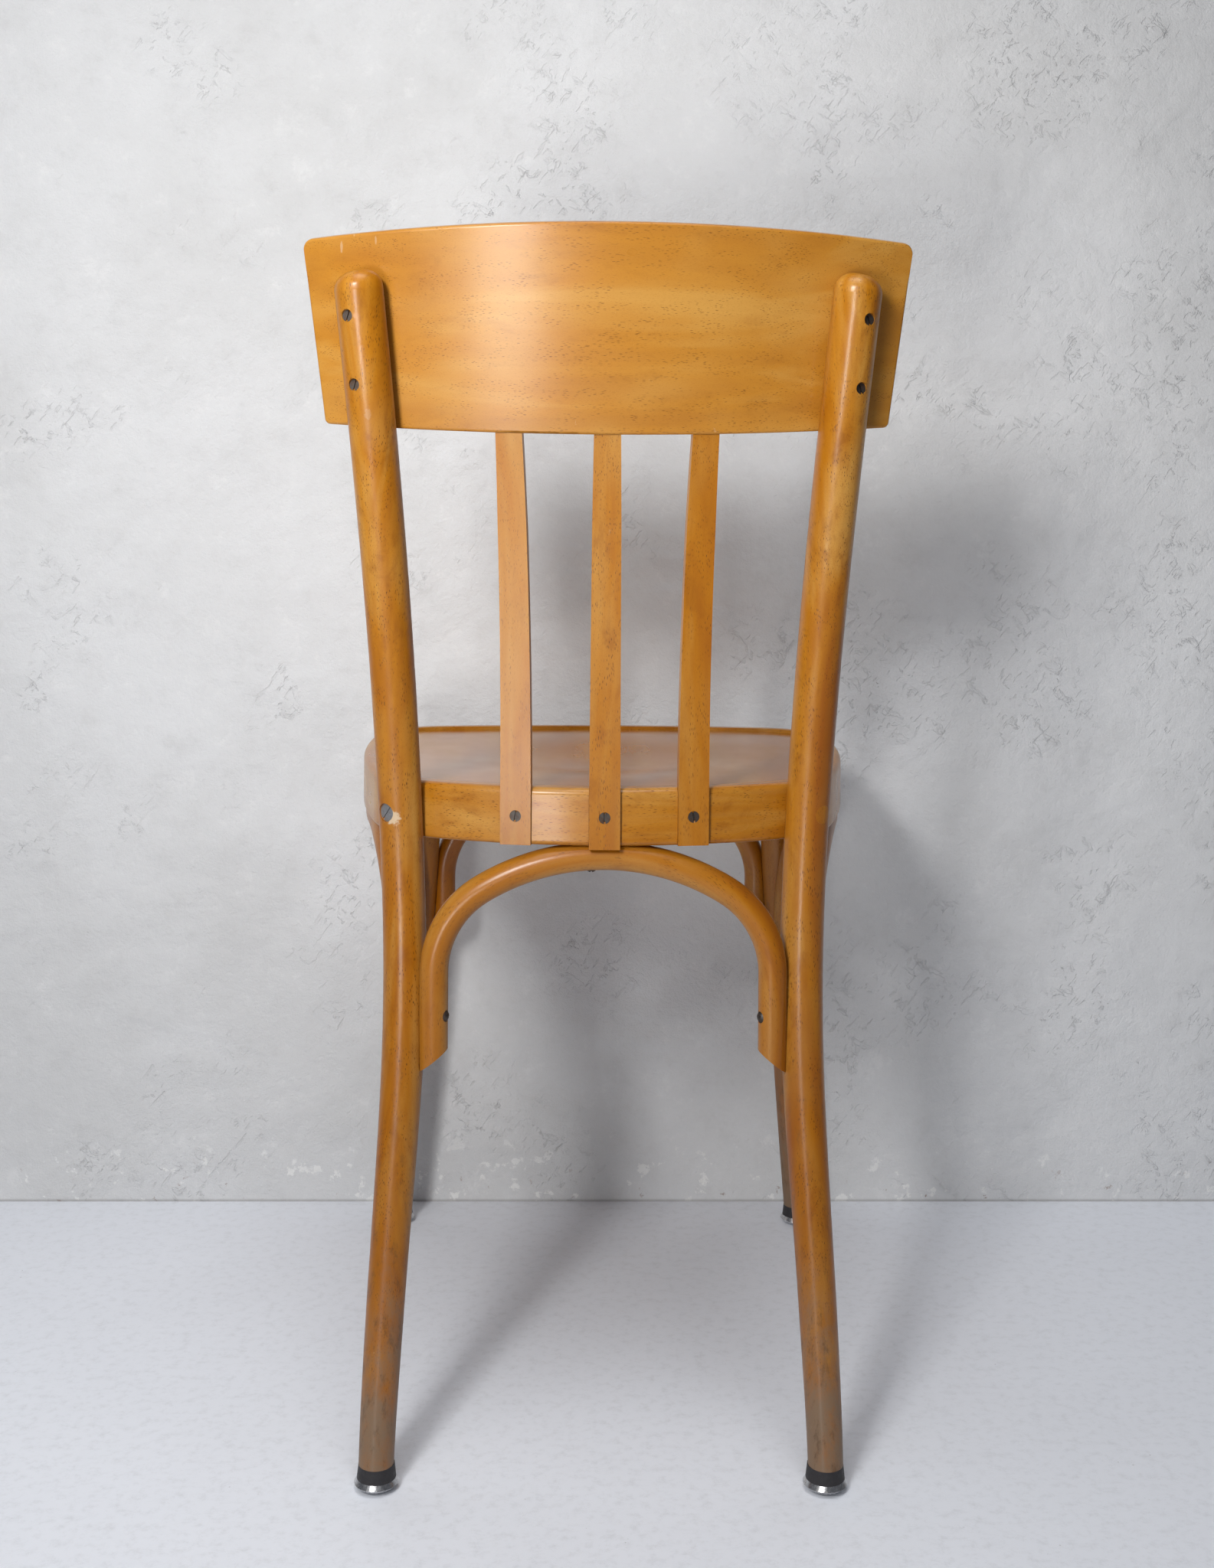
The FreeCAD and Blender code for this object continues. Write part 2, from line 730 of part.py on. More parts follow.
def seatRing():
    ring = seatPrism(0, ringBottom, seatHeight)
    ring = ring.makeFillet(ringTopRound, flatEdges(ring, seatHeight))
    ring = ring.makeFillet(ringBottomRound, flatEdges(ring, ringBottom))
    ring = ring.cut(seatPrism(ringWidth, ringBottom - fit, seatHeight + fit))
    ring = ring.cut(seatPrism(rimWidth, seatHeight - seatPanelDrop - seatPanelThickness, seatHeight + fit))
    tenonHole = Part.makeCylinder(tenonDiameter / 2 + pilotFit, tenonLength + fit, legTop)
    paired = [boltLeft, sideApexScrew]
    places = slatScrews + paired + [mirroredPlace(place) for place in paired]
    places += [rearApexScrew, frontApexScrew]
    return cutAll(ring, slatSpaces + [tenonHole, mirrored(tenonHole)] + holes(places))


def seatPanel():
    # a moulded sheet: a flat margin in the ring's rebate and a soft round dish
    base = seatHeight - seatPanelDrop - seatPanelThickness
    sheet = seatPrism(rimWidth + fit, base, base + seatPanelThickness)
    return sheet.fuse(dish(base)).cut(dish(base + seatPanelThickness))


def dish(rim):
    # the hollow below one level: a bowl arc that turns into a shoulder arc half way out
    step = dishRadius / 2
    bend = (step ** 2 + (dishDepth / 2) ** 2) / dishDepth
    sag = bend - math.sqrt(bend ** 2 - (step / 2) ** 2)
    deepest = Vec(0, 0, rim - dishDepth)
    middle = Vec(step, 0, rim - dishDepth / 2)
    edge = Vec(dishRadius, 0, rim)
    top = Vec(0, 0, rim)
    profile = [Part.Arc(deepest, deepest + Vec(step / 2, 0, sag), middle).toShape(),
               Part.Arc(middle, edge - Vec(step / 2, 0, sag), edge).toShape(),
               Part.makeLine(edge, top),
               Part.makeLine(top, deepest)]
    bowl = Part.Face(Part.Wire(profile)).revolve(Vec(0, 0, 0), Vec(0, 0, 1), 360)
    bowl.translate(Vec(0, ringRearY - dishSetback, 0))
    return bowl


def sheetBack():
    panel = backPanel()
    places = panelScrewsLeft + [mirroredPlace(place) for place in panelScrewsLeft]
    return cutAll(panel, slatSpaces + holes(places))


def slatPiece(index):
    offset, drop = list(slatPlaces.values())[index]
    return cutAll(slat(offset, drop, 0), holes([slatScrews[index]]))


def rearBow():
    bow = crossBow(rearBowY, rearReach, rearBowKneeDrop, rearBowEndHeight, postSpace)
    return cutAll(bow, holes([rearArmScrew, mirroredPlace(rearArmScrew), rearApexScrew]))


def frontBow():
    bow = crossBow(frontBowY, frontReach, frontBowKneeDrop, frontBowEndHeight, legSpace)
    return cutAll(bow, holes([frontArmScrew, mirroredPlace(frontArmScrew), frontApexScrew]))


def sideBow():
    bow = bentRod(sidePath, bowRadius)
    bow = cutAll(bow, [slab(ringBottom, seatHeight), postSpace, legSpace])
    return cutAll(bow, holes([sideRearScrew, sideFrontScrew, sideApexScrew]))


# Glides: a domed metal cap, a black ring above it and the nail up into the foot

def nailPlace(curve):
    foot, _ = atHeight(curve, footHeight)
    return foot.x, foot.y


def nailHole(x, y):
    return Part.makeCylinder(nailDiameter / 2 + pilotFit, nailLength + fit - nailInCap,
                             Vec(x, y, glideCapHeight))


def glideCap(x, y):
    # a low dome with a small flat to stand on and a rounded rim
    rim = glideDiameter / 2
    flat = glideFlatDiameter / 2
    edge = glideCapHeight - glideBevel
    middle = Vec((rim + flat) / 2, 0, edge / 2) + Vec(glideBulge, 0, -glideBulge)
    profile = [Part.makeLine(Vec(0, 0, 0), Vec(flat, 0, 0)),
               Part.Arc(Vec(flat, 0, 0), middle, Vec(rim, 0, edge)).toShape(),
               Part.makeLine(Vec(rim, 0, edge), Vec(glideRingDiameter / 2, 0, glideCapHeight)),
               Part.makeLine(Vec(glideRingDiameter / 2, 0, glideCapHeight), Vec(0, 0, glideCapHeight)),
               Part.makeLine(Vec(0, 0, glideCapHeight), Vec(0, 0, 0))]
    cap = Part.Face(Part.Wire(profile)).revolve(Vec(0, 0, 0), Vec(0, 0, 1), 360)
    socket = Part.makeCylinder(nailDiameter / 2 + pilotFit, nailInCap, Vec(0, 0, glideCapHeight - nailInCap))
    cap = cap.cut(socket)
    cap.translate(Vec(x, y, 0))
    return cap


def glideRing(x, y):
    ring = Part.makeCone(glideRingDiameter / 2, postFootDiameter / 2 + fit, glideRingHeight)
    ring = ring.cut(Part.makeCylinder(nailDiameter / 2 + pilotFit, glideRingHeight))
    ring.translate(Vec(x, y, glideCapHeight))
    return ring


def glideNail(x, y):
    return Part.makeCylinder(nailDiameter / 2, nailLength, Vec(x, y, glideCapHeight - nailInCap + pilotFit))


def addPair(name, shape):
    nodes[name + "_left"] = shape
    nodes[name + "_right"] = mirrored(shape)


addPair("rear_post", rearPostPiece())
addPair("front_leg", frontLegPiece())
nodes["seat_ring"] = seatRing()
nodes["seat_panel"] = seatPanel()
nodes["back_panel"] = sheetBack()
for index, name in enumerate(slatPlaces):
    nodes[name] = slatPiece(index)
nodes["rear_bow"] = rearBow()
nodes["front_bow"] = frontBow()
addPair("side_bow", sideBow())
addPair("panel_screws", screws(panelScrewsLeft))
addPair("ring_bolt", screws([boltLeft]))
addPair("side_bow_screws", screws([sideRearScrew, sideFrontScrew, sideApexScrew]))
nodes["bolt_plug"] = mirrored(boltPlug())
nodes["slat_screws"] = screws(slatScrews)
nodes["rear_bow_screws"] = screws([rearArmScrew, mirroredPlace(rearArmScrew), rearApexScrew])
nodes["front_bow_screws"] = screws([frontArmScrew, mirroredPlace(frontArmScrew), frontApexScrew])
for corner, curve in (("rear", postCurve), ("front", legCurve)):
    x, y = nailPlace(curve)
    addPair("glide_cap_" + corner, glideCap(x, y))
    addPair("glide_ring_" + corner, glideRing(x, y))
    addPair("glide_nail_" + corner, glideNail(x, y))

os.makedirs("parts", exist_ok=True)
for name, shape in nodes.items():
    shape.exportStep("parts/" + name + ".step")
    print(name, shape.isValid(), len(shape.Solids), round(shape.Volume))
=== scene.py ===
import bpy
import math
from mathutils import Matrix, Vector


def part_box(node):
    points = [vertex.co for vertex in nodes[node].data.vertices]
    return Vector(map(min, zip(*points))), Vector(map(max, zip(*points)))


# Looks of a bentwood bistro chair seen from behind, in metres: varnished beech, steel screws, chromed glides

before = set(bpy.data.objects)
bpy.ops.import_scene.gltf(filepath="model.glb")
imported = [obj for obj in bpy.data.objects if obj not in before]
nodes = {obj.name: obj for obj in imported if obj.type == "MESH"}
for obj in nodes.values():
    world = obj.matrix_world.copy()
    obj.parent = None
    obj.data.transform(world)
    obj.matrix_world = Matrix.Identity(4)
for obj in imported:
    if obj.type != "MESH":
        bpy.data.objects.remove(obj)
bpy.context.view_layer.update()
print("frame loaded:", len(nodes), "pieces")


# Node helpers

class Shader:
    # a node material that is written from left to right
    def __init__(self, name):
        self.material = bpy.data.materials.new(name)
        self.material.use_nodes = True
        self.tree = self.material.node_tree
        self.tree.nodes.clear()
        self.output = self.add("ShaderNodeOutputMaterial")

    def add(self, kind, **settings):
        node = self.tree.nodes.new(kind)
        for key, value in settings.items():
            setattr(node, key, value)
        return node

    def put(self, socket, value):
        if isinstance(value, bpy.types.NodeSocket):
            self.tree.links.new(value, socket)
        elif isinstance(value, (tuple, list)) and len(value) == 3 and socket.type == "RGBA":
            socket.default_value = (*value, 1.0)
        else:
            socket.default_value = value

    def objectPlace(self):
        return self.add("ShaderNodeTexCoord").outputs["Object"]

    def split(self, vector):
        node = self.add("ShaderNodeSeparateXYZ")
        self.put(node.inputs[0], vector)
        return node.outputs[0], node.outputs[1], node.outputs[2]

    def join(self, x, y, z):
        node = self.add("ShaderNodeCombineXYZ")
        for socket, value in zip(node.inputs, (x, y, z)):
            self.put(socket, value)
        return node.outputs[0]

    def math(self, operation, *values, clamp=False):
        node = self.add("ShaderNodeMath", operation=operation, use_clamp=clamp)
        for socket, value in zip(node.inputs, values):
            self.put(socket, value)
        return node.outputs[0]

    def times(self, first, second):
        return self.math("MULTIPLY", first, second)

    def vectorMath(self, operation, *values):
        node = self.add("ShaderNodeVectorMath", operation=operation)
        for socket, value in zip(node.inputs, values):
            self.put(socket, value)
        return node.outputs[1] if operation in ("LENGTH", "DISTANCE") else node.outputs[0]

    def noise(self, vector, scale, detail=3.0, roughness=0.5, distortion=0.0):
        node = self.add("ShaderNodeTexNoise")
        self.put(node.inputs["Vector"], vector)
        for key, value in (("Scale", scale), ("Detail", detail), ("Roughness", roughness),
                           ("Distortion", distortion)):
            node.inputs[key].default_value = value
        return node.outputs["Fac"]

    def stretched(self, vector, scales, *settings):
        # a noise with its own scale along each axis; the settings are detail, roughness and distortion
        return self.noise(self.vectorMath("MULTIPLY", vector, scales), 1.0, *settings)

    def cells(self, vector, scale):
        node = self.add("ShaderNodeTexVoronoi")
        self.put(node.inputs["Vector"], vector)
        node.inputs["Scale"].default_value = scale
        return node.outputs["Distance"]

    def range(self, value, low, high, start=0.0, end=1.0):
        # goes smoothly from start to end while the value goes from low to high
        node = self.add("ShaderNodeMapRange", interpolation_type="SMOOTHSTEP")
        for index, item in enumerate((value, low, high, start, end)):
            self.put(node.inputs[index], item)
        return node.outputs[0]

    def mix(self, share, first, second):
        node = self.add("ShaderNodeMix", data_type="RGBA")
        self.put(node.inputs[0], share)
        self.put(node.inputs[6], first)
        self.put(node.inputs[7], second)
        return node.outputs[2]

    def ramp(self, value, stops):
        node = self.add("ShaderNodeValToRGB")
        self.put(node.inputs[0], value)
        elements = node.color_ramp.elements
        while len(elements) < len(stops):
            elements.new(0.5)
        for element, (place, color) in zip(elements, stops):
            element.position = place
            element.color = (*color, 1.0)
        return node.outputs["Color"]

    def bump(self, height, strength, distance, under=None):
        node = self.add("ShaderNodeBump")
        node.inputs["Strength"].default_value = strength
        node.inputs["Distance"].default_value = distance
        self.put(node.inputs["Height"], height)
        if under is not None:
            self.put(node.inputs["Normal"], under)
        return node.outputs["Normal"]

    def surface(self, **inputs):
        node = self.add("ShaderNodeBsdfPrincipled")
        for key, value in inputs.items():
            self.put(node.inputs[key.replace("_", " ")], value)
        self.put(self.output.inputs["Surface"], node.outputs[0])
        return self.material


# Where the grain runs: each gives along, across and depth coordinates in metres

def grainUpright(shader):
    x, y, z = shader.split(shader.objectPlace())
    return shader.join(z, x, y)


def grainAcross(shader):
    x, y, z = shader.split(shader.objectPlace())
    return shader.join(x, z, y)


def grainFrontToBack(shader):
    x, y, z = shader.split(shader.objectPlace())
    return shader.join(y, x, z)


def grainRound(shader, centre, radius):
    # along a ring in plan
    x, y, z = shader.split(shader.objectPlace())
    across = shader.math("SUBTRACT", x, centre[0])
    away = shader.math("SUBTRACT", y, centre[1])
    turn = shader.math("ARCTAN2", away, across)
    reach = shader.vectorMath("LENGTH", shader.join(across, away, 0.0))
    return shader.join(shader.times(turn, radius), reach, z)


def grainArch(shader, level, middle, reach, depthScale=1.0, crosswise=True):
    # over a bow: up one arm, round its top and down the other
    x, y, z = shader.split(shader.objectPlace())
    side, other = (x, y) if crosswise else (y, x)
    side = shader.times(shader.math("SUBTRACT", side, middle), depthScale)
    rise = shader.math("SUBTRACT", z, level)
    above = shader.math("MAXIMUM", rise, 0.0)
    turn = shader.math("ARCTAN2", side, above)
    radius = shader.vectorMath("LENGTH", shader.join(side, above, 0.0))
    down = shader.math("MINIMUM", rise, 0.0)
    sideways = shader.math("SIGN", side)
    along = shader.math("SUBTRACT", shader.times(turn, reach), shader.times(down, sideways))
    return shader.join(along, radius, other)


# Varnished beech

beech = {
    "amber": (0.425, 0.158, 0.004),
    "light": (0.575, 0.325, 0.078),
    "deep": (0.285, 0.078, 0.001),
    # the colour of the dark patches, and of the painted shade lower down
    "aged": (0.200, 0.052, 0.001),
    "fleck": (0.075, 0.020, 0.002),
    "reddish": (0.270, 0.100, 0.028),
    "worn": (0.190, 0.130, 0.082),
    "grime": (0.070, 0.036, 0.016),
    "bare": (0.560, 0.420, 0.270),
    "refraction": 1.48,
    "coat": 0.22,
    "coatRoughness": 0.20,
    "shine": 0.32,
    # the next two: the heights where the painted shade lower down is full and where it ends, and its full
    # share
    "agedHeights": (0.12, 0.66),
    "agedShare": 0.46,
    "raggedness": 0.30,
    "reliefStrength": 0.20,
    "grainDepth": 0.0003,
    "rippleDepth": 0.0012,
    "seedShift": (1.0, 0.37, 0.61),
}

# noise scales along the grain, across it and in depth
grainScales = {
    "bands": (2.4, 30.0, 30.0),
    "streaks": (7.0, 260.0, 260.0),
    "clouds": (12.0, 20.0, 20.0),
    "patches": (26.0, 60.0, 60.0),
    "rays": (210.0, 1150.0, 1150.0),
    "rayFields": (40.0, 120.0, 120.0),
    "pores": (420.0, 2100.0, 2100.0),
    "ripples": (9.0, 40.0, 40.0),
}

# noise scales of wear and dirt, along the frame's axes
wearScales = {
    "smears": (55.0, 55.0, 22.0),
    "dirt": (120.0, 120.0, 46.0),
    "knocks": (88.0, 88.0, 60.0),
    "chips": (420.0, 420.0, 420.0),
}


def beechMaterial(name, grain, warmth=0.0, gloss=0.38, seed=0.0, contrast=1.0, flecks=1.0,
                  wornFoot=None, marks=()):
    shader = Shader(name)
    line = grain(shader)
    shifted = shader.vectorMath("ADD", line, tuple(seed * part for part in beech["seedShift"]))
    place = shader.objectPlace()
    z = shader.split(place)[2]
    # broad bands along the piece, fine streaks between them, and a soft cloudiness of the stain
    broad = shader.stretched(shifted, grainScales["bands"], 3.0, 0.55, 0.7)
    streak = shader.stretched(shifted, grainScales["streaks"], 4.0, 0.6, 0.3)
    cloud = shader.stretched(shifted, grainScales["clouds"], 2.0)
    spread = contrast ** 0.5
    color = shader.ramp(broad, ((0.50 - 0.24 * spread, beech["deep"]), (0.50, beech["amber"]),
                                (0.50 + 0.26 * spread, beech["light"])))
    color = shader.mix(1.0 - min(contrast, 1.0), color, beech["amber"])
    color = shader.mix(shader.range(streak, 0.35, 0.70, 0.0, 0.30 * contrast), color, beech["deep"])
    color = shader.mix(shader.range(cloud, 0.42, 0.75, 0.0, 0.30), color, beech["light"])
    if warmth:
        color = shader.mix(abs(warmth), color, beech["light"] if warmth > 0 else beech["deep"])
    # painted shade: the wood is darker lower down, where less light reaches; and handling has left dark
    # patches
    patch = shader.stretched(shifted, grainScales["patches"], 5.0, 0.66, 0.4)
    aged = shader.range(z, *beech["agedHeights"], beech["agedShare"], 0.0)
    color = shader.mix(aged, color, beech["aged"])
    color = shader.mix(shader.range(patch, 0.52, 0.72, 0.0, 0.50 * contrast), color, beech["aged"])
    # the short dark rays of beech, and finer pores between them
    rayShape = shader.cells(shader.vectorMath("MULTIPLY", shifted, grainScales["rays"]), 1.0)
    rayField = shader.stretched(shifted, grainScales["rayFields"], 2.0)
    rays = shader.times(shader.range(rayShape, 0.12, 0.34, 1.0, 0.0),
                        shader.range(rayField, 0.42, 0.60, 0.10, 0.55 * flecks))
    poreShape = shader.cells(shader.vectorMath("MULTIPLY", shifted, grainScales["pores"]), 1.0)
    pores = shader.range(poreShape, 0.10, 0.32, 0.30 * flecks, 0.0)
    color = shader.mix(pores, color, beech["deep"])
    color = shader.mix(rays, color, beech["fleck"])
    roughness = shader.range(cloud, 0.2, 0.8, gloss - 0.05, gloss + 0.07)
    height = shader.math("SUBTRACT", shader.times(streak, 0.3), rays)
    if wornFoot:
        # rubbed through near the foot: first reddish, then grey-brown, with dark smears
        low, high = wornFoot
        smear = shader.stretched(place, wearScales["smears"], 6.0, 0.72)
        ragged = shader.math("ADD", z, shader.times(shader.math("SUBTRACT", smear, 0.5), beech["raggedness"]))
        color = shader.mix(shader.range(ragged, low, high * 1.7, 0.62, 0.0), color, beech["reddish"])
        worn = shader.range(ragged, low - 0.02, high + 0.015, 0.88, 0.0)
        color = shader.mix(worn, color, beech["worn"])
        dark = shader.stretched(place, wearScales["dirt"], 6.0, 0.74)
        darkMask = shader.times(shader.range(dark, 0.52, 0.68),
                                shader.range(z, high * 0.6, high * 3.2, 0.55, 0.0))
        color = shader.mix(darkMask, color, beech["grime"])
        roughness = shader.math("ADD", roughness, shader.times(worn, 0.28), clamp=True)
        height = shader.math("ADD", height, shader.times(worn, smear))
    # small knocks all over, some down to pale wood and some dirty
    knock = shader.stretched(place, wearScales["knocks"], 5.0, 0.70)
    color = shader.mix(shader.range(knock, 0.705, 0.745, 0.0, 0.45), color, beech["bare"])
    color = shader.mix(shader.range(knock, 0.30, 0.25, 0.0, 0.40), color, beech["grime"])
    for centre, half, strength in marks:
        away = shader.vectorMath("DIVIDE", shader.vectorMath("SUBTRACT", place, centre), half)
        chip = shader.stretched(place, wearScales["chips"], 3.0, 0.6)
        edge = shader.math("ADD", shader.vectorMath("LENGTH", away),
                           shader.times(shader.math("SUBTRACT", chip, 0.5), 1.3))
        bare = shader.range(edge, 0.65, 1.05, strength, 0.0)
        color = shader.mix(bare, color, beech["bare"])
        roughness = shader.math("ADD", roughness, shader.times(bare, 0.3), clamp=True)
    normal = shader.bump(height, beech["reliefStrength"], beech["grainDepth"])
    ripple = shader.stretched(shifted, grainScales["ripples"], 2.0)
    normal = shader.bump(ripple, beech["reliefStrength"], beech["rippleDepth"], normal)
    return shader.surface(Base_Color=color, Roughness=roughness, Normal=normal, IOR=beech["refraction"],
                          Specular_IOR_Level=beech["shine"],
                          Coat_Weight=beech["coat"], Coat_Roughness=beech["coatRoughness"])


# wornFoot is the height up to which a foot is worn through, and the height at which the wear ends
postLook = {"gloss": 0.34, "wornFoot": (0.030, 0.115), "contrast": 1.0, "flecks": 1.8}
legLook = {"gloss": 0.42, "wornFoot": (0.05, 0.18), "warmth": -0.35, "contrast": 0.5, "flecks": 1.0}
bowLook = {"gloss": 0.34, "warmth": -0.10, "contrast": 0.8, "flecks": 1.3}
ringLook = {"gloss": 0.28, "warmth": 0.08, "contrast": 0.9, "flecks": 1.5, "seed": 6.3}
panelLook = {"gloss": 0.31, "warmth": 0.20, "contrast": 0.40, "flecks": 1.2, "seed": 9.2}
seatLook = {"gloss": 0.18, "warmth": -0.20, "contrast": 0.45, "flecks": 0.4, "seed": 11.0}
slatLooks = {
    "slat_left": {"gloss": 0.42, "warmth": -0.15, "contrast": 0.5, "flecks": 0.9, "seed": 7.1},
    "slat_middle": {"gloss": 0.40, "warmth": -0.10, "contrast": 0.8, "flecks": 1.7, "seed": 9.4},
    "slat_right": {"gloss": 0.38, "warmth": -0.10, "contrast": 0.7, "flecks": 1.4, "seed": 12.7},
}

# how the grain follows each bow: the level where its arms begin to turn, its middle and its radius there
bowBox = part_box("rear_bow")
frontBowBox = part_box("front_bow")
rearArch = {"level": bowBox[1].z - 0.128, "middle": 0.0, "reach": 0.118}
frontArch = {"level": frontBowBox[1].z - 0.151, "middle": 0.0, "reach": 0.141}
sideArch = {"level": 0.27, "middle": -0.02, "reach": 0.15, "depthScale": 0.85, "crosswise": False}
ringPlan = {"centre": (0.0, -0.02), "radius": 0.19}

# places where the varnish is gone: centre, half sizes and strength
bolt = {"headDepth": 0.012, "chipShift": (-0.0035, 0.0, -0.0030), "chipHalf": (0.0062, 0.02, 0.0056),
        "chipStrength": 0.95}
panelScratches = [
    ((0.180, 0.21, 0.826), (0.0010, 0.03, 0.0045), 0.40),
    ((0.156, 0.22, 0.829), (0.0007, 0.03, 0.0028), 0.35),
    ((0.171, 0.21, 0.834), (0.0007, 0.03, 0.0020), 0.35),
]
panelScuff = ((0.1605, 0.23, 0.712), (0.0028, 0.03, 0.0042), 0.22)


def boltHeadPlace():
    # the middle of the end that faces outwards and back
    points = [vertex.co for vertex in nodes["ring_bolt_left"].data.vertices]
    rearmost = max(point.x + 2 * point.y for point in points)
    head = [point for point in points if point.x + 2 * point.y > rearmost - bolt["headDepth"]]
    return sum(head, Vector()) / len(head)


chippedBolt = (boltHeadPlace() + Vector(bolt["chipShift"]), bolt["chipHalf"], bolt["chipStrength"])
postMarks = {"left": [chippedBolt, panelScuff], "right": []}

woods = {}
for side, seed in (("left", 0.0), ("right", 3.7)):
    woods["rear_post_" + side] = beechMaterial(
        "rearPost_" + side, grainUpright, seed=seed, marks=postMarks[side], **postLook)
    woods["front_leg_" + side] = beechMaterial(
        "frontLeg_" + side, grainUpright, seed=seed + 1.3, **legLook)
    woods["side_bow_" + side] = beechMaterial(
        "sideBow_" + side, lambda shader: grainArch(shader, **sideArch), seed=seed + 5.1, **bowLook)
woods["rear_bow"] = beechMaterial(
    "rearBow", lambda shader: grainArch(shader, **rearArch), seed=2.2, **bowLook)
woods["front_bow"] = beechMaterial(
    "frontBow", lambda shader: grainArch(shader, **frontArch), seed=4.4, **bowLook)
woods["seat_ring"] = beechMaterial(
    "seatRing", lambda shader: grainRound(shader, **ringPlan), **ringLook)
for name, look in slatLooks.items():
    woods[name] = beechMaterial(name.replace("_", ""), grainUpright, **look)
woods["bolt_plug"] = beechMaterial("boltPlug", grainUpright, seed=1.9)
woods["back_panel"] = beechMaterial("backPanel", grainAcross, marks=panelScratches, **panelLook)
woods["seat_panel"] = beechMaterial("seatPanel", grainFrontToBack, **seatLook)
print("wood finishes made:", len(woods))


# Metal and rubber

fittings = {
    "steel": (0.075, 0.068, 0.062),
    "rust": (0.085, 0.045, 0.026),
    "bolt": (0.40, 0.40, 0.41),
    "steelMetallic": 0.85,
    "steelDirt": (420.0, 420.0, 420.0),
    "chrome": (0.62, 0.62, 0.63),
    "dust": (0.26, 0.24, 0.22),
    "chromeScratches": (700.0, 700.0, 200.0),
    "chromeDust": (150.0, 150.0, 150.0),
    "rubber": (0.020, 0.018, 0.020),
    "rubberDirt": (0.09, 0.08, 0.07),
    "rubberDust": (260.0, 260.0, 260.0),
}


def screwMaterial(name, color, stain):
    shader = Shader(name)
    place = shader.objectPlace()
    dirt = shader.stretched(place, fittings["steelDirt"], 5.0, 0.65)
    tone = shader.mix(shader.range(dirt, 0.42, 0.66, 0.0, stain), color, fittings["rust"])
    roughness = shader.range(dirt, 0.3, 0.7, 0.38, 0.62)
    normal = shader.bump(dirt, 0.30, 0.0002)
    return shader.surface(Base_Color=tone, Metallic=fittings["steelMetallic"], Roughness=roughness,
                          Normal=normal)


def chromeMaterial():
    shader = Shader("glideChrome")
    place = shader.objectPlace()
    scratch = shader.stretched(place, fittings["chromeScratches"], 3.0, 0.6)
    dust = shader.stretched(place, fittings["chromeDust"], 3.0, 0.6)
    color = shader.mix(shader.range(dust, 0.48, 0.75, 0.0, 0.55), fittings["chrome"], fittings["dust"])
    roughness = shader.range(scratch, 0.30, 0.75, 0.20, 0.34)
    return shader.surface(Base_Color=color, Metallic=1.0, Roughness=roughness,
                          Normal=shader.bump(scratch, 0.03, 0.0002))


def rubberMaterial():
    shader = Shader("glideRubber")
    place = shader.objectPlace()
    dust = shader.stretched(place, fittings["rubberDust"], 5.0, 0.7)
    color = shader.mix(shader.range(dust, 0.5, 0.8, 0.0, 0.35), fittings["rubber"],
                       fittings["rubberDirt"])
    return shader.surface(Base_Color=color, Roughness=shader.range(dust, 0.3, 0.7, 0.5, 0.75),
                          Normal=shader.bump(dust, 0.2, 0.0003))


screwSteel = screwMaterial("screwSteel", fittings["steel"], 0.75)
boltSteel = screwMaterial("boltSteel", fittings["bolt"], 0.25)
chrome = chromeMaterial()
rubber = rubberMaterial()


def materialFor(name):
    if name in woods:
        return woods[name]
    if name.startswith("glide_cap"):
        return chrome
    if name.startswith("glide_ring"):
        return rubber
    if name.startswith("ring_bolt"):
        return boltSteel
    return screwSteel


for name, piece in nodes.items():
    piece.data.materials.clear()
    piece.data.materials.append(materialFor(name))
print("finishes assigned")


# Floor and wall

room = {
    "wallPlace": (-0.0023, -0.2765),
    "wallTurn": 0.505,
    "halfWidth": 4.0,
    "wallHeight": 3.2,
    "floorDepth": 6.0,
    "floorBehind": 5.0,
}

floorPaint = {
    "tone": (0.82, 0.845, 0.90),
    "patch": (0.76, 0.78, 0.83),
    "mottle": (0.50, 0.51, 0.53),
    "speck": (0.30, 0.29, 0.28),
    "cloudScale": 2.2,
    "mottleScale": 110.0,
    "speckScale": 190.0,
    "speckFieldScale": 23.0,
    "grainScale": 850.0,
    "roughness": 0.55,
}

plaster = {
    "tone": (0.72, 0.725, 0.735),
    "patch": (0.62, 0.62, 0.62),
    "shade": (0.50, 0.495, 0.49),
    "light": (0.82, 0.82, 0.82),
    "flake": (0.84, 0.84, 0.83),
    "stain": (0.30, 0.20, 0.16),
    "footLine": (0.26, 0.25, 0.24),
    "tick": (0.44, 0.43, 0.42),
    "cloudScale": 2.6,
    "mottleScale": 26.0,
    "sweepScales": (7.0, 7.0, 9.0),
    "flakeScale": 46.0,
    "stainScale": 61.0,
    "patchyScale": 7.0,
    "tickScales": (44.0, 150.0, 1.0),
    "lumpScales": (62.0, 34.0, 1.0),
    "slant": 0.8,
    "tickShare": 0.08,
    "mottleDepth": 0.0036,
    "sweepDepth": 0.009,
    "lumpDepth": 0.00060,
    "tickDepth": 0.00056,
    "roughness": 0.8,
}


def sheetMesh(name, corners):
    mesh = bpy.data.meshes.new(name)
    mesh.from_pydata(corners, [], [(0, 1, 2, 3)])
    piece = bpy.data.objects.new(name, mesh)
    bpy.context.scene.collection.objects.link(piece)
    return piece


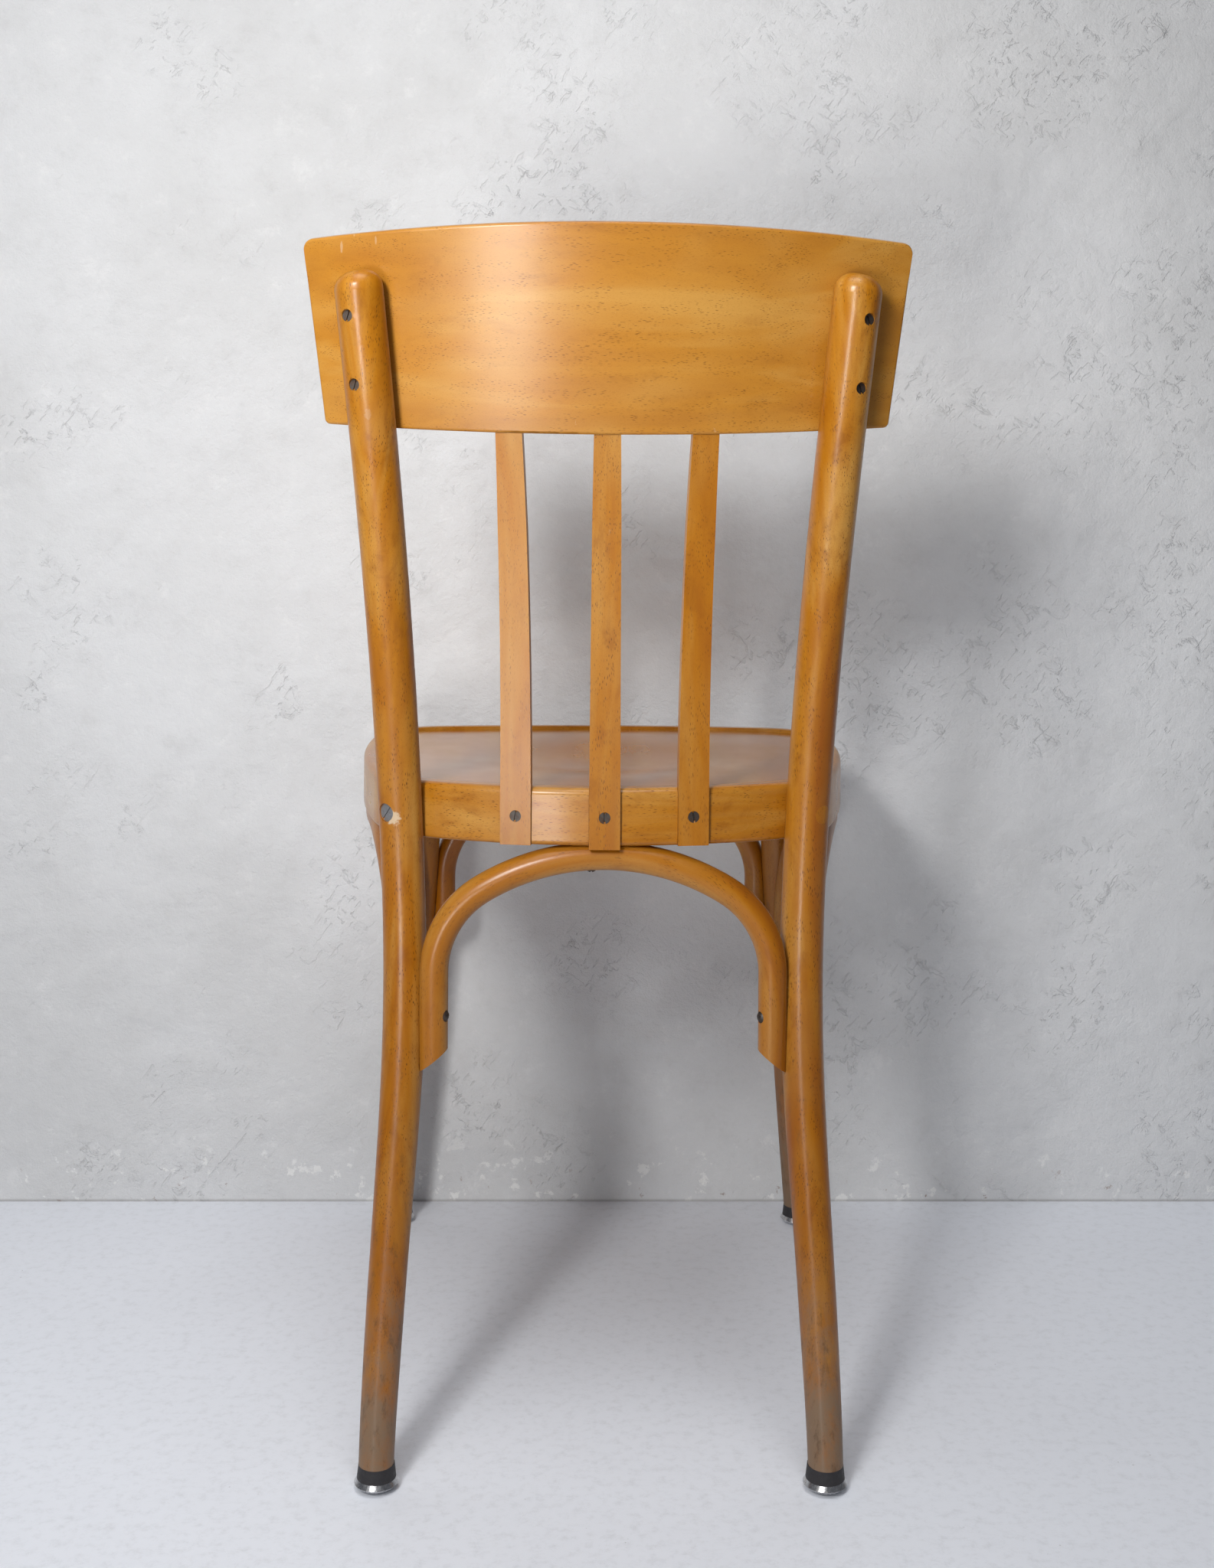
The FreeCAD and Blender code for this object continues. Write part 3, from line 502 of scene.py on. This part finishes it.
def floorMaterial():
    shader = Shader("floorPaint")
    place = shader.objectPlace()
    cloud = shader.noise(place, floorPaint["cloudScale"], 4.0, 0.6)
    mottle = shader.noise(place, floorPaint["mottleScale"], 5.0, 0.75)
    speck = shader.cells(place, floorPaint["speckScale"])
    speckField = shader.noise(place, floorPaint["speckFieldScale"], 4.0, 0.7)
    color = shader.mix(shader.range(cloud, 0.3, 0.7, 0.0, 0.5), floorPaint["tone"], floorPaint["patch"])
    color = shader.mix(shader.range(mottle, 0.45, 0.75, 0.0, 0.30), color, floorPaint["mottle"])
    speckMask = shader.times(shader.range(speck, 0.06, 0.14, 0.6, 0.0),
                             shader.range(speckField, 0.60, 0.70))
    color = shader.mix(speckMask, color, floorPaint["speck"])
    grain = shader.noise(place, floorPaint["grainScale"], 3.0, 0.7)
    return shader.surface(Base_Color=color, Roughness=floorPaint["roughness"],
                          Normal=shader.bump(grain, 0.15, 0.0005))


def wallMaterial():
    # uneven plaster, darker and lighter in patches, with flaked paint and stains near the floor
    shader = Shader("wallPlaster")
    place = shader.objectPlace()
    x, _, z = shader.split(place)
    cloud = shader.noise(place, plaster["cloudScale"], 5.0, 0.62)
    mottle = shader.noise(place, plaster["mottleScale"], 7.0, 0.76)
    sweep = shader.stretched(place, plaster["sweepScales"], 3.0, 0.5, 0.5)
    color = shader.mix(shader.range(cloud, 0.35, 0.7, 0.0, 0.75), plaster["tone"], plaster["patch"])
    color = shader.mix(shader.range(mottle, 0.48, 0.74, 0.0, 0.26), color, plaster["shade"])
    color = shader.mix(shader.range(mottle, 0.46, 0.30, 0.0, 0.40), color, plaster["light"])
    flake = shader.noise(place, plaster["flakeScale"], 5.0, 0.65)
    flakeMask = shader.times(shader.range(flake, 0.595, 0.64), shader.range(z, 0.015, 0.085, 1.0, 0.0))
    color = shader.mix(flakeMask, color, plaster["flake"])
    stain = shader.noise(place, plaster["stainScale"], 4.0, 0.7)
    stainMask = shader.times(shader.range(stain, 0.64, 0.70, 0.0, 0.75),
                             shader.range(z, 0.0, 0.05, 1.0, 0.0))
    color = shader.mix(stainMask, color, plaster["stain"])
    color = shader.mix(shader.range(z, 0.0, 0.0035, 0.55, 0.0), color, plaster["footLine"])
    # short slanting ticks and lumps left by the trowel, in patches, more of them on the right
    patchy = shader.math("ADD", shader.noise(place, plaster["patchyScale"], 4.0, 0.65),
                         shader.range(x, -0.8, 0.8, 0.06, -0.05))
    shown = shader.range(patchy, 0.46, 0.64)
    slant = shader.join(shader.math("SUBTRACT", z, shader.times(x, plaster["slant"])),
                        shader.math("ADD", x, shader.times(z, plaster["slant"])), 0.0)
    tick = shader.stretched(slant, plaster["tickScales"], 3.0, 0.62, 0.25)
    tickMask = shader.times(shader.range(tick, 0.60, 0.645), shown)
    lump = shader.stretched(slant, plaster["lumpScales"], 5.0, 0.70, 0.4)
    lumpMask = shader.times(shader.range(lump, 0.57, 0.63), shown)
    color = shader.mix(shader.times(tickMask, plaster["tickShare"]), color, plaster["tick"])
    relief = shader.math("ADD", shader.times(lumpMask, plaster["lumpDepth"]),
                         shader.times(mottle, plaster["mottleDepth"]))
    relief = shader.math("ADD", relief, shader.times(sweep, plaster["sweepDepth"]))
    relief = shader.math("SUBTRACT", relief, shader.times(tickMask, plaster["tickDepth"]))
    front = shader.add("ShaderNodeBsdfPrincipled")
    shader.put(front.inputs["Base Color"], color)
    front.inputs["Roughness"].default_value = plaster["roughness"]
    shader.put(front.inputs["Normal"], shader.bump(relief, 1.0, 1.0))
    # only the face towards the room shows, so the chair's front can be looked at as well
    clear = shader.add("ShaderNodeBsdfTransparent")
    back = shader.add("ShaderNodeNewGeometry").outputs["Backfacing"]
    choice = shader.add("ShaderNodeMixShader")
    shader.put(choice.inputs[0], back)
    shader.put(choice.inputs[1], front.outputs[0])
    shader.put(choice.inputs[2], clear.outputs[0])
    shader.put(shader.output.inputs["Surface"], choice.outputs[0])
    return shader.material


wallAngle = math.radians(room["wallTurn"])
wallLine = Vector((math.cos(wallAngle), math.sin(wallAngle), 0.0))
wallFoot = Vector((*room["wallPlace"], 0.0))
outward = Vector((-wallLine.y, wallLine.x, 0.0))
left = wallFoot + wallLine * room["halfWidth"]
right = wallFoot - wallLine * room["halfWidth"]
rise = Vector((0.0, 0.0, room["wallHeight"]))
wall = sheetMesh("wall", [left, right, right + rise, left + rise])
wall.data.materials.append(wallMaterial())
reach = outward * room["floorDepth"]
behind = outward * room["floorBehind"]  # so that the front views have a floor as well
floor = sheetMesh("floor", [right - behind, left - behind, left + reach, right + reach])
floor.data.materials.append(floorMaterial())
print("floor and wall made")


# Light: a soft lamp, a low window for the sheen, an open door far back, the ceiling and the room

lights = {
    "lamp": {"place": (0.50, 1.34, 1.18), "aim": (0.24, -0.27, 0.92), "size": (0.28, 0.28),
             "spread": 135.0, "power": 8.1, "color": (1.0, 0.99, 0.97)},
    "window": {"place": (0.62, 1.95, 0.28), "aim": (0.06, 0.2, 0.78), "size": (0.38, 0.46),
               "spread": 45.0, "power": 0.92, "color": (1.0, 0.98, 0.95)},
    "door": {"place": (1.25, 3.55, 1.95), "aim": (0.30, 0.0, 0.30), "size": (0.32, 0.36),
             "spread": 120.0, "power": 10.5, "color": (0.99, 0.99, 1.0)},
    "ceiling": {"place": (0.14, 1.00, 2.50), "aim": (0.10, 0.70, 0.0), "size": (1.5, 1.5),
                "spread": 90.0, "power": 8.0, "color": (0.97, 0.985, 1.0)},
    "room": {"tone": (0.86, 0.90, 1.0), "strength": 0.12},
}


def addLamp(name, values):
    lamp = bpy.data.lights.new(name, "AREA")
    lamp.shape = "RECTANGLE"
    lamp.size, lamp.size_y = values["size"]
    lamp.spread = math.radians(values["spread"])
    lamp.energy = values["power"]
    lamp.color = values["color"]
    piece = bpy.data.objects.new(name, lamp)
    bpy.context.scene.collection.objects.link(piece)
    piece.location = values["place"]
    aim = Vector(values["aim"]) - piece.location
    piece.rotation_euler = aim.to_track_quat("-Z", "Y").to_euler()
    piece.visible_camera = False  # the front views look towards the lamps


for name in ("lamp", "window", "door", "ceiling"):
    addLamp(name, lights[name])
world = bpy.data.worlds.new("room")
world.use_nodes = True
background = world.node_tree.nodes["Background"]
background.inputs["Color"].default_value = (*lights["room"]["tone"], 1.0)
background.inputs["Strength"].default_value = lights["room"]["strength"]
bpy.context.scene.world = world
print("lights placed")


# Camera: sizes and the principal point in pixels of the photograph, height and distance in metres

view = {
    "imageSize": (1585, 2048),
    "focalPixels": 2347.4,
    "principal": (788.98, 685.83),
    "height": 0.63940,
    "distance": 1.42273,
    "yaw": 0.489,
    "roll": 0.374,
    "sensor": 36.0,
}


def addCamera():
    width, height = view["imageSize"]
    data = bpy.data.cameras.new("camera")
    data.sensor_width = view["sensor"]
    data.lens = view["focalPixels"] / height * view["sensor"]
    data.shift_x = (width / 2 - view["principal"][0]) / height
    data.shift_y = (view["principal"][1] - height / 2) / height
    piece = bpy.data.objects.new("camera", data)
    bpy.context.scene.collection.objects.link(piece)
    yaw, roll = math.radians(view["yaw"]), math.radians(view["roll"])
    back = Vector((math.sin(yaw), math.cos(yaw), 0.0))
    up = Vector((0.0, 0.0, 1.0))
    right = up.cross(back)
    turnedRight = right * math.cos(roll) + up * math.sin(roll)
    turnedUp = up * math.cos(roll) - right * math.sin(roll)
    place = back * view["distance"] + up * view["height"]
    piece.matrix_world = Matrix((
        (turnedRight.x, turnedUp.x, back.x, place.x),
        (turnedRight.y, turnedUp.y, back.y, place.y),
        (turnedRight.z, turnedUp.z, back.z, place.z),
        (0.0, 0.0, 0.0, 1.0)))
    bpy.context.scene.camera = piece


addCamera()
bpy.context.scene.view_settings.view_transform = "Standard"
print("camera placed")
